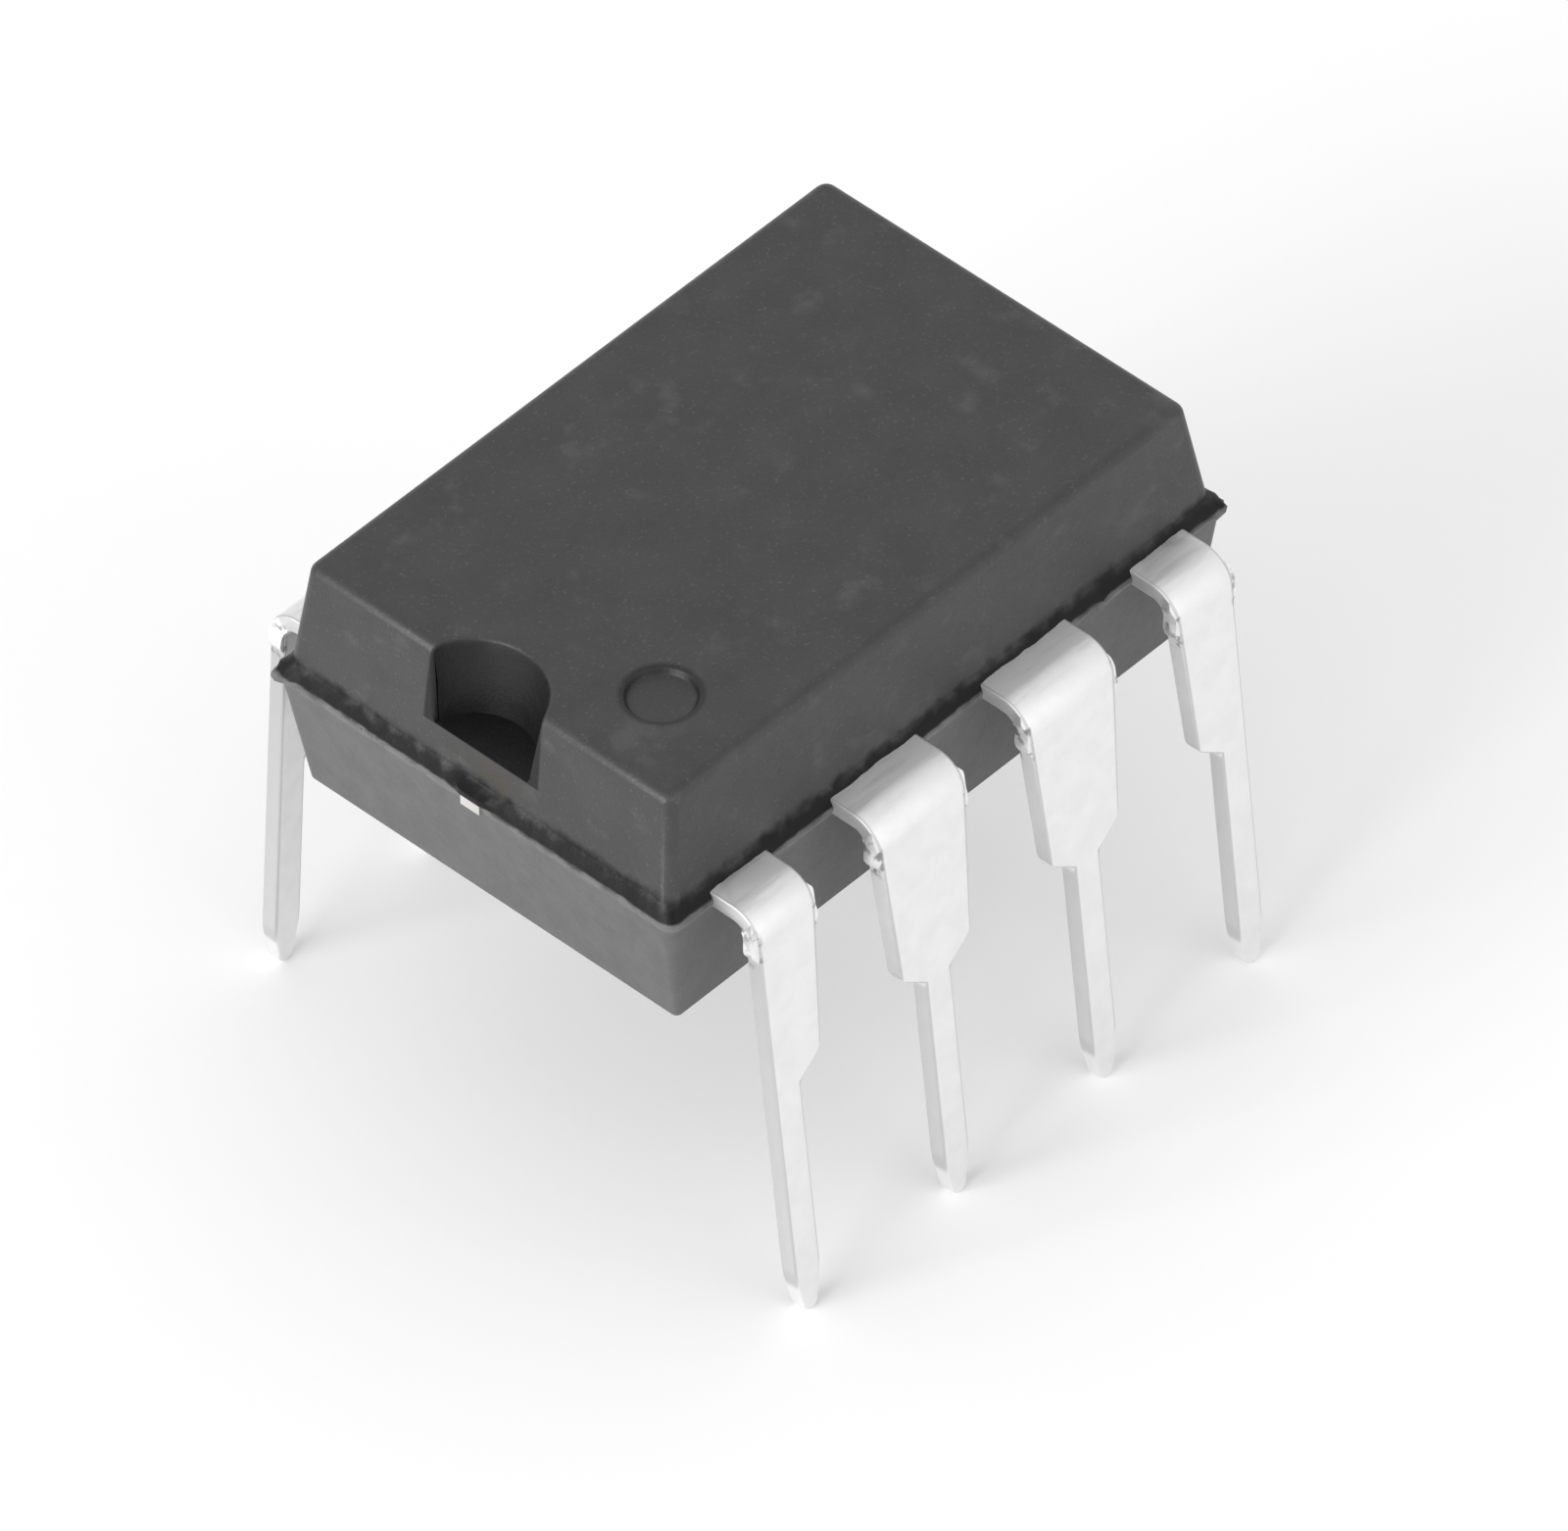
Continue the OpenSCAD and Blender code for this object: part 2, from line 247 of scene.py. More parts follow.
    @staticmethod
    def polish(obj: Object, angle: float) -> None:
        """Shades obj smooth up to an angle in degrees, with its large faces kept flat."""
        Bench.activate(obj)
        bpy.ops.object.shade_smooth_by_angle(angle=math.radians(angle))
        step = obj.modifiers.new(name="flat_faces", type="WEIGHTED_NORMAL")
        step.keep_sharp = True
        bpy.ops.object.modifier_apply(modifier=step.name)

    @staticmethod
    def to_metres(obj: Object) -> None:
        """Brings a finished mesh from millimetres to metres."""
        Bench.activate(obj)
        bpy.ops.transform.resize(value=(MM, MM, MM), center_override=(0.0, 0.0, 0.0))
        bpy.ops.object.transform_apply(location=True, rotation=True, scale=True)

    @staticmethod
    def twin(obj: Object, name: str) -> Object:
        """Copies a piece, with a mesh of its own.

        Args:
            obj: The piece to copy.
            name: The copy's name.

        Returns:
            The copy.
        """
        Bench.activate(obj)
        bpy.ops.object.duplicate(linked=False)
        copy = bpy.context.object
        copy.name = name
        copy.data.name = name
        return copy


# ---------------------------------------------------------------- finishes


class Graph:
    """Builds one material out of shader nodes that read Object coordinates."""

    def __init__(self, name: str) -> None:
        """Starts a material with its Principled shader and coordinates in millimetres."""
        self.material = bpy.data.materials.new(name)
        self.material.use_nodes = True
        self.tree = self.material.node_tree
        self.shader = next(n for n in self.tree.nodes if n.type == "BSDF_PRINCIPLED")
        coordinates = self.add("ShaderNodeTexCoord")
        self.place = self.scaled(coordinates.outputs["Object"], (1 / MM,) * 3)
        parts = self.add("ShaderNodeSeparateXYZ")
        self.link(self.place, parts.inputs[0])
        self.x, self.y, self.z = parts.outputs[0], parts.outputs[1], parts.outputs[2]

    def add(self, kind: str) -> ShaderNode:
        """Adds a node of a kind."""
        return self.tree.nodes.new(kind)

    def link(self, source: NodeSocket | float, target: NodeSocket) -> None:
        """Feeds a socket with another socket, or sets its number."""
        if isinstance(source, (int, float)):
            target.default_value = source
        else:
            self.tree.links.new(source, target)

    def feed(self, name: str, source: NodeSocket | float) -> None:
        """Feeds one of the shader's inputs, or sets its number."""
        self.link(source, self.shader.inputs[name])

    def scaled(self, vector: NodeSocket, factors: Sequence[float]) -> NodeSocket:
        """Scales coordinates.

        Args:
            vector: The coordinates.
            factors: The three factors.

        Returns:
            The scaled coordinates.
        """
        node = self.add("ShaderNodeMapping")
        self.link(vector, node.inputs["Vector"])
        node.inputs["Scale"].default_value = tuple(factors)
        return node.outputs[0]

    def math(
        self, kind: str, first: NodeSocket | float, second: NodeSocket | float = 0.0
    ) -> NodeSocket:
        """Adds one step of arithmetic.

        Args:
            kind: The operation, such as ADD or MULTIPLY.
            first: Its first value.
            second: Its second value.

        Returns:
            The result.
        """
        node = self.add("ShaderNodeMath")
        node.operation = kind
        self.link(first, node.inputs[0])
        self.link(second, node.inputs[1])
        return node.outputs[0]

    def line(self, value: NodeSocket, slope: float, start: float) -> NodeSocket:
        """Multiplies a value and adds to it.

        Args:
            value: The value.
            slope: Its factor.
            start: What is added.

        Returns:
            The result.
        """
        result = self.math("MULTIPLY_ADD", value, slope)
        result.node.inputs[2].default_value = start
        return result

    def product(self, *values: NodeSocket | float) -> NodeSocket:
        """Multiplies values with one another.

        Args:
            values: Two or more values.

        Returns:
            Their product.
        """
        result = values[0]
        for value in values[1:]:
            result = self.math("MULTIPLY", result, value)
        return result

    def gap(self, value: NodeSocket, middle: NodeSocket | float) -> NodeSocket:
        """How far a value lies from a middle one, either way."""
        return self.math("ABSOLUTE", self.math("SUBTRACT", value, middle))

    def axis_gap(self, x: float, y: float) -> NodeSocket:
        """How far the surface lies from an upright axis at x, y."""
        sides = [self.math("SUBTRACT", self.x, x), self.math("SUBTRACT", self.y, y)]
        squares = [self.math("POWER", side, 2.0) for side in sides]
        return self.math("SQRT", self.math("ADD", *squares))

    def fade(self, value: NodeSocket, start: float, end: float, curve: str = "SMOOTHSTEP") -> NodeSocket:
        """Turns a value into a mask.

        Args:
            value: The value.
            start: Where the mask is 0.
            end: Where the mask is 1.
            curve: How it goes from one to the other, SMOOTHSTEP or LINEAR.

        Returns:
            The mask, from 0 to 1.
        """
        node = self.add("ShaderNodeMapRange")
        node.interpolation_type = curve
        self.link(value, node.inputs["Value"])
        node.inputs["From Min"].default_value = start
        node.inputs["From Max"].default_value = end
        return node.outputs[0]

    def grain(
        self, scale: float, detail: float = 2.0, stretch: Sequence[float] | None = None
    ) -> NodeSocket:
        """Adds noise.

        Args:
            scale: How many waves it has in a millimetre.
            detail: How much finer noise it holds.
            stretch: Factors on the coordinates along X, Y and Z, if they are not all 1.

        Returns:
            The noise, around 0.5.
        """
        node = self.add("ShaderNodeTexNoise")
        vector = self.place if stretch is None else self.scaled(self.place, stretch)
        self.link(vector, node.inputs["Vector"])
        node.inputs["Scale"].default_value = scale
        node.inputs["Detail"].default_value = detail
        return node.outputs[0]

    def mix(
        self, share: NodeSocket, first: Sequence[float] | NodeSocket, second: Sequence[float]
    ) -> NodeSocket:
        """Mixes two colours.

        Args:
            share: The second colour's share.
            first: The first colour, or a socket that gives it.
            second: The second colour.

        Returns:
            The mixed colour.
        """
        node = self.add("ShaderNodeMix")
        node.data_type = "RGBA"
        self.link(share, node.inputs["Factor"])
        if isinstance(first, NodeSocket):
            self.tree.links.new(first, node.inputs[FIRST_COLOUR])
        else:
            node.inputs[FIRST_COLOUR].default_value = (*first, 1.0)
        node.inputs[SECOND_COLOUR].default_value = (*second, 1.0)
        return node.outputs[MIXED_COLOUR]

    def bump(self, height: NodeSocket, depth: float, below: NodeSocket | None = None) -> NodeSocket:
        """Raises the surface by a height map.

        Args:
            height: The map, from 0 to 1.
            depth: How high 1 stands, in millimetres.
            below: A normal that this one is added to.

        Returns:
            The new normal.
        """
        node = self.add("ShaderNodeBump")
        node.inputs["Distance"].default_value = depth * MM
        self.link(height, node.inputs["Height"])
        if below is not None:
            self.link(below, node.inputs["Normal"])
        return node.outputs[0]


@dataclass(frozen=True)
class MouldedEpoxy:
    """Charcoal epoxy with a fine matte grain, painted shade above the ledge and in the notch and dimple,
    and a paler lower half that is painted bounce light.
    """

    parting_z: float
    half_length: float
    notch_x: float
    notch_r: float
    notch_z: float
    dimple: Vector
    dimple_r: float
    charcoal: tuple[float, float, float] = (0.016, 0.016, 0.016)
    wear_and_arris_shade: tuple[float, float, float] = (0.023, 0.023, 0.023)
    # Painted light: the lower half is mixed towards this paler colour to stand for light bounced up from
    # the floor.
    pale: tuple[float, float, float] = (0.076, 0.076, 0.076)
    filler: tuple[float, float, float] = (0.090, 0.090, 0.088)
    # Painted shade: this near-black stands for the shade at the foot of the upper walls, in the notch
    # and in the dimple.
    painted_shade: tuple[float, float, float] = (0.004, 0.004, 0.004)
    rim: tuple[float, float, float] = (0.120, 0.120, 0.118)
    smudge: tuple[float, float, float] = (0.026, 0.021, 0.008)
    roughness: float = 0.44
    ior: float = 1.60

    def build(self) -> Material:
        """Makes the material.

        Returns:
            The material.
        """
        graph = Graph("moulded_epoxy")
        rise = graph.math("SUBTRACT", graph.z, self.parting_z)
        colour = graph.mix(graph.fade(graph.grain(1.4, 3.0), 0.3, 0.7), self.charcoal, self.wear_and_arris_shade)
        mottle = graph.line(graph.fade(graph.grain(2.6, 6.0), 0.35, 0.65), 0.22, 0.80)
        # Painted light: below the parting plane the colour is made paler, standing for light bounced up
        # from the floor.
        colour = graph.mix(graph.product(graph.fade(rise, 0.02, -0.02), mottle), colour, self.pale)
        specks = graph.fade(graph.grain(24.0, 3.0), 0.58, 0.76)
        colour = graph.mix(graph.product(specks, 0.45), colour, self.filler)
        scuffs = graph.fade(graph.grain(1.8, 6.0, (1.0, 1.0, 1.6)), 0.56, 0.74)
        colour = graph.mix(graph.product(scuffs, 0.28), colour, self.filler)
        colour = graph.mix(self.rim_mask(graph, rise), colour, self.rim)
        colour = graph.mix(self.smudge_mask(graph, rise), colour, self.smudge)
        # Painted shade: the band above the ledge, the notch and the dimple are darkened to stand for the
        # shade that falls in them.
        dark = graph.math("MAXIMUM", self.foot_shade_mask(graph, rise), self.notch_shade_mask(graph))
        dark = graph.math("MAXIMUM", dark, self.dimple_shade_mask(graph))
        graph.feed("Base Color", graph.mix(dark, colour, self.painted_shade))

        # The painted shade also weakens the specular reflection where it lies.
        graph.feed("Specular IOR Level", graph.line(dark, -0.36, 0.5))
        graph.feed("Roughness", graph.line(graph.grain(9.0, 3.0), 0.14, self.roughness - 0.07))
        graph.feed("IOR", self.ior)
        fine = graph.bump(graph.grain(26.0, 4.0), 0.004)
        graph.feed("Normal", graph.bump(graph.grain(7.0, 3.0), 0.004, fine))
        return graph.material

    def rim_mask(self, graph: Graph, rise: NodeSocket) -> NodeSocket:
        """Mask of the broken pale line along the lower edge of the flash."""
        under = graph.product(graph.fade(rise, -0.17, -0.07), graph.fade(rise, 0.05, 0.02))
        return graph.product(under, graph.fade(graph.grain(3.0, 4.0), 0.34, 0.60), 0.8)

    def foot_shade_mask(self, graph: Graph, rise: NodeSocket) -> NodeSocket:
        """Mask of the ragged dark band of painted shade at the foot of the upper walls, above the ledge.
        """
        step = graph.math("ADD", rise, graph.line(graph.grain(4.5, 5.0), -0.30, 0.15))
        return graph.product(graph.fade(step, 0.34, 0.14), graph.fade(rise, 0.01, 0.05))

    def smudge_mask(self, graph: Graph, rise: NodeSocket) -> NodeSocket:
        """Mask of the brownish smudge on the end wall under the notch."""
        side = graph.fade(graph.x, 0.0, -self.half_length / 2)
        across = graph.fade(graph.gap(graph.y, -0.05), 0.75, 0.25)
        height = graph.fade(graph.gap(rise, 0.36), 0.26, 0.06)
        return graph.product(side, across, height, graph.fade(graph.grain(3.2, 3.0), 0.45, 0.62))

    def notch_shade_mask(self, graph: Graph) -> NodeSocket:
        """Mask of the painted shade on the walls and the floor of the end notch."""
        axis_gap = graph.axis_gap(self.notch_x, 0.0)
        column = graph.fade(axis_gap, self.notch_r + 0.03, self.notch_r - 0.02)
        above = graph.fade(graph.z, self.notch_z - 0.02, self.notch_z - 0.005)
        return graph.product(column, above, 0.8)

    def dimple_shade_mask(self, graph: Graph) -> NodeSocket:
        """Mask of the painted shade on the pin 1 dimple's wall."""
        ring = graph.gap(graph.axis_gap(*self.dimple), self.dimple_r)
        return graph.product(graph.fade(ring, 0.10, 0.02), 0.55)


@dataclass(frozen=True)
class TinPlate:
    """Matte tin plate: streaked on top, with painted shade along its edges and painted burr shadows
    where the bar was cut off.
    """

    name: str
    parting_z: float
    # The leg's middle, and the lead's two edges at the bend, counted from there.
    leg_x: float
    cuts: tuple[float, float]
    # Half the widths of the leg and of the shoulder's foot, and that foot's height.
    halves: tuple[float, float]
    foot_z: float
    chamfer: float
    bright: tuple[float, float, float] = (0.84, 0.84, 0.84)
    dull: tuple[float, float, float] = (0.81, 0.81, 0.81)
    streak: tuple[float, float, float] = (0.62, 0.62, 0.62)
    # Painted shadow: the colour of the specks that stand for the burrs' shadows at the cuts.
    burr_shadow: tuple[float, float, float] = (0.30, 0.30, 0.30)
    # Painted shade: the colour of the thin line along the lead's edges, where its faces meet.
    wear_and_arris_shade: tuple[float, float, float] = (0.50, 0.50, 0.50)
    roughness: float = 0.58

    def build(self) -> Material:
        """Makes the material.

        Returns:
            The material.
        """
        graph = Graph(self.name)
        colour = graph.mix(graph.fade(graph.grain(3.0, 4.0), 0.3, 0.7), self.bright, self.dull)
        lines = graph.fade(graph.grain(7.0, 3.0, (0.14, 1.0, 1.0)), 0.46, 0.66)
        flat = graph.fade(graph.z, self.parting_z + 0.02, self.parting_z + 0.10)
        colour = graph.mix(graph.product(lines, flat, 0.5), colour, self.streak)
        across = graph.math("SUBTRACT", graph.math("ABSOLUTE", graph.x), self.leg_x)
        # Painted shade: a thin darker line along the edges of the shoulder and the leg.
        colour = graph.mix(graph.product(self.arris_shade_mask(graph, across), 0.7), colour, self.wear_and_arris_shade)
        # Painted shadow: dark specks along the cuts at the bend stand for the shadows of the burrs
        # there.
        graph.feed("Base Color", graph.mix(self.burr_shadow_mask(graph, across), colour, self.burr_shadow))
        graph.feed("Metallic", 1.0)
        graph.feed("Roughness", graph.line(graph.grain(6.0, 3.0), 0.12, self.roughness - 0.06))
        fine = graph.bump(graph.grain(26.0, 3.0), 0.0014)
        graph.feed("Normal", graph.bump(graph.grain(3.0, 3.0), 0.002, fine))
        return graph.material

    def arris_shade_mask(self, graph: Graph, across: NodeSocket) -> NodeSocket:
        """Mask of a thin line of painted shade along both edges of the shoulder and the leg.

        Args:
            graph: The material's graph.
            across: Distance from the leg's middle, positive away from the body's middle.

        Returns:
            The mask.
        """
        leg_half, foot_half = self.halves
        shoulder = graph.fade(graph.z, self.foot_z - self.chamfer, self.foot_z, "LINEAR")
        rise = graph.fade(graph.z, self.foot_z, self.parting_z, "LINEAR")
        lines = []
        for cut in self.cuts:
            wide = 0.0 if abs(cut) <= leg_half else 1.0
            edge = graph.line(shoulder, wide * (foot_half - leg_half), leg_half)
            edge = graph.math("ADD", edge, graph.product(rise, wide * (abs(cut) - foot_half)))
            inside = graph.math("SUBTRACT", edge, graph.product(across, math.copysign(1.0, cut)))
            lines.append(graph.fade(graph.gap(inside, 0.012), 0.030, 0.006))
        return graph.math("MAXIMUM", *lines)

    def burr_shadow_mask(self, graph: Graph, across: NodeSocket) -> NodeSocket:
        """Mask of dark specks of painted shadow, standing for the burrs' shadows, along both cuts, from
        the middle of the bend downwards.
        """
        near = [graph.fade(graph.gap(across, cut), 0.075, 0.02) for cut in self.cuts]
        drop = graph.math("SUBTRACT", self.parting_z, graph.z)
        zone = graph.product(graph.fade(drop, 0.05, 0.16), graph.fade(drop, 0.74, 0.60))
        specks = graph.fade(graph.grain(8.0, 4.0), 0.50, 0.66)
        return graph.product(graph.math("MAXIMUM", *near), zone, specks)


@dataclass(frozen=True)
class Metal:
    """A plated or drawn metal with a fine grain."""

    name: str
    bright: tuple[float, float, float]
    dull: tuple[float, float, float]
    roughness: float
    spread: float = 0.12
    grain: float = 14.0
    depth: float = 0.002

    def build(self) -> Material:
        """Makes the material.

        Returns:
            The material.
        """
        graph = Graph(self.name)
        cloud = graph.fade(graph.grain(3.0, 4.0), 0.3, 0.7)
        graph.feed("Base Color", graph.mix(cloud, self.bright, self.dull))
        graph.feed("Metallic", 1.0)
        graph.feed("Roughness", graph.line(graph.grain(5.0, 3.0), self.spread, self.roughness))
        fine = graph.bump(graph.grain(self.grain, 3.0), self.depth)
        graph.feed("Normal", graph.bump(graph.grain(2.5, 2.0), 0.008, fine))
        return graph.material


@dataclass(frozen=True)
class Mineral:
    """A dull or polished solid with a mottled colour, for the adhesive and the silicon."""

    name: str
    light: tuple[float, float, float]
    dark: tuple[float, float, float]
    roughness: float
    grain: float

    def build(self) -> Material:
        """Makes the material.

        Returns:
            The material.
        """
        graph = Graph(self.name)
        mottle = graph.fade(graph.grain(self.grain, 4.0), 0.4, 0.6)
        graph.feed("Base Color", graph.mix(mottle, self.light, self.dark))
        graph.feed("Roughness", self.roughness)
        graph.feed("Normal", graph.bump(mottle, 0.002))
        return graph.material


@dataclass(frozen=True)
class Floor:
    """Pale studio floor with a barely uneven tone."""

    tone: float = 0.92
    shade: float = 0.985

    def build(self) -> Material:
        """Makes the material.

        Returns:
            The material.
        """
        graph = Graph("studio_floor")
        tones = [(self.tone,) * 3, (self.tone * self.shade,) * 3]
        graph.feed("Base Color", graph.mix(graph.grain(0.02), *tones))
        graph.feed("Roughness", 0.9)
        graph.feed("Specular IOR Level", 0.1)
        return graph.material


def dress(obj: Object, material: Material) -> None:
    """Gives an object one material in place of all it had."""
    obj.data.materials.clear()
    obj.data.materials.append(material)


# ---------------------------------------------------------------- moulded body


@dataclass
class MouldedBody:
    """The epoxy moulding, with its ledge, end notch, pin 1 dimple and ragged flash."""

    parting_z: float
    ledge: float = 0.08
    upper_lean: tuple[float, float] = (0.24, 0.21)
    lower_lean: tuple[float, float] = (0.26, 0.22)
    corner_r: float = 0.16
    foot_corner_r: float = 0.08
    corner_steps: int = 6
    notch_r: float = 0.92
    notch_set: float = 0.28
    notch_depth: float = 1.04
    notch_taper: float = 0.17
    dimple_r: float = 0.45
    dimple_depth: float = 0.10
    dimple_from_end: float = 1.52
    dimple_from_side: float = 1.54
    top_edge: float = 0.13
    bottom_edge: float = 0.03
    notch_edge: float = 0.05
    dimple_edge: float = 0.035
    # Angles in degrees: what counts as a sharp edge, and up to where the faces shade smooth.
    sharp_angle: float = 35.0
    smooth_angle: float = 32.0
    # How exactly a point has to lie in a place.
    hair: float = 0.004

    def __post_init__(self) -> None:
        """Takes the outer sizes from the CAD body."""
        low, high = box_mm("moulded_body")
        self.half = ((high.x - low.x) / 2, (high.y - low.y) / 2)
        self.bottom_z, self.top_z = low.z, high.z
        self.upper_half = (self.half[0] - self.ledge, self.half[1] - self.ledge)
        self.notch_x = self.upper_lean[0] - self.upper_half[0] - self.notch_set
        self.notch_z = self.top_z - self.notch_depth
        self.dimple = Vector((self.dimple_from_end - self.half[0], self.dimple_from_side - self.half[1]))

    def build(self) -> Object:
        """Models the moulding.

        Returns:
            The finished piece, in metres.
        """
        body = self.blank()
        self.ease(body, self.at_top, self.top_edge, 6)
        self.ease(body, self.at_bottom, self.bottom_edge, 3)
        flash = FlashBand(self.parting_z, self.half, self.upper_half, self.corner_r)
        Bench.boolean(body, flash.build(), "UNION")
        self.cut_marks(body)
        self.ease(body, self.at_notch, self.notch_edge, 4)
        self.ease(body, self.at_dimple, self.dimple_edge, 4)
        Bench.outward(body)
        Bench.to_metres(body)
        Bench.polish(body, self.smooth_angle)
        return body

    def finish(self) -> MouldedEpoxy:
        """The moulding's finish, which knows where the ledge, the notch and the dimple are."""
        return MouldedEpoxy(
            self.parting_z,
            self.half[0],
            self.notch_x,
            self.notch_r,
            self.notch_z,
            self.dimple,
            self.dimple_r,
        )

    def blank(self) -> Object:
        """Raises the drafted block from its underside, with the ledge at the parting plane.

        Returns:
            The block, with sharp level edges and round upright corners.
        """
        foot = [half - lean for half, lean in zip(self.half, self.lower_lean)]
        body = Bench.plate("epoxy_moulding", (2 * foot[0], 2 * foot[1]), Vector((0, 0, self.bottom_z)))
        with Bench.editing(body):
            bpy.ops.mesh.bevel(offset=self.corner_r, segments=self.corner_steps, affect="VERTICES")
            bpy.ops.mesh.select_all(action="SELECT")
            Bench.raise_to(foot, self.half, self.parting_z - self.bottom_z)
            Bench.raise_to(self.half, self.upper_half, 0.0)
            top = [half - lean for half, lean in zip(self.upper_half, self.upper_lean)]
            Bench.raise_to(self.upper_half, top, self.top_z - self.parting_z)
        self.tighten(body, foot)
        Bench.outward(body)
        return body

    def tighten(self, body: Object, foot: Sequence[float]) -> None:
        """Brings the round corners of the underside to their own, smaller radius.

        Args:
            body: The block.
            foot: Half sizes of its underside along X and Y.
        """
        for vertex in body.data.vertices:
            if vertex.co.z < self.bottom_z + self.hair:
                for axis, side in enumerate(foot):
                    share = max(0.0, (abs(vertex.co[axis]) - side + self.corner_r) / self.corner_r)
                    reach = side - self.foot_corner_r * (1 - share)
                    vertex.co[axis] = math.copysign(reach, vertex.co[axis])

    def cut_marks(self, body: Object) -> None:
        """Cuts the end notch and the pin 1 dimple with two tapered tools that stand out at the top."""
        past = 0.5
        slope = self.notch_taper / self.notch_depth
        notch = Bench.cone(
            "notch_cutter",
            (self.notch_r - self.notch_taper, self.notch_r + slope * past),
            Vector((self.notch_x, 0, self.notch_z)),
            self.notch_depth + past,
            sides=96,
        )
        Bench.boolean(body, notch, "DIFFERENCE")
        dimple = Bench.cone(
            "dimple_cutter",
            (self.dimple_r - self.dimple_depth / 2, self.dimple_r + self.dimple_depth / 2),
            Vector((self.dimple.x, self.dimple.y, self.top_z - self.dimple_depth)),
            2 * self.dimple_depth,
            sides=64,
        )
        Bench.boolean(body, dimple, "DIFFERENCE")

    def ease(
        self, body: Object, wanted: Callable[[bmesh.types.BMEdge], bool], width: float, steps: int
    ) -> None:
        """Rounds one group of sharp edges.

        Args:
            body: The moulding.
            wanted: Says of each sharp edge whether it is in the group.
            width: How far the rounding reaches along the faces.
            steps: How many faces it has.
        """
        with Bench.editing(body):
            count = Bench.pick_edges(body, lambda e: self.is_sharp(e) and wanted(e))
            LOG.info("epoxy_moulding: %d edges rounded by %.3f mm", count, width)
            Bench.round_off(width, steps)

    def is_sharp(self, edge: bmesh.types.BMEdge) -> bool:
        """True for an edge between two faces that meet at more than the sharp angle."""
        return len(edge.link_faces) == 2 and edge.calc_face_angle() > math.radians(self.sharp_angle)

    def at_top(self, edge: bmesh.types.BMEdge) -> bool:
        """True for an edge of the top face."""
        return all(abs(v.co.z - self.top_z) < self.hair for v in edge.verts)

    def at_bottom(self, edge: bmesh.types.BMEdge) -> bool:
        """True for an edge of the underside."""
        return all(abs(v.co.z - self.bottom_z) < self.hair for v in edge.verts)

    def at_notch(self, edge: bmesh.types.BMEdge) -> bool:
        """True for an edge of the notch's rim."""
        axis = Vector((self.notch_x, 0))
        return max(v.co.z for v in edge.verts) > self.notch_z + self.hair and all(
            (v.co.xy - axis).length < self.notch_r + self.hair and v.co.z > self.notch_z - self.hair
            for v in edge.verts
        )

    def at_dimple(self, edge: bmesh.types.BMEdge) -> bool:
        """True for an edge of the dimple."""
        return all(
            (v.co.xy - self.dimple).length < self.dimple_r + self.hair
            and v.co.z > self.top_z - self.dimple_depth - self.hair
            for v in edge.verts
        )


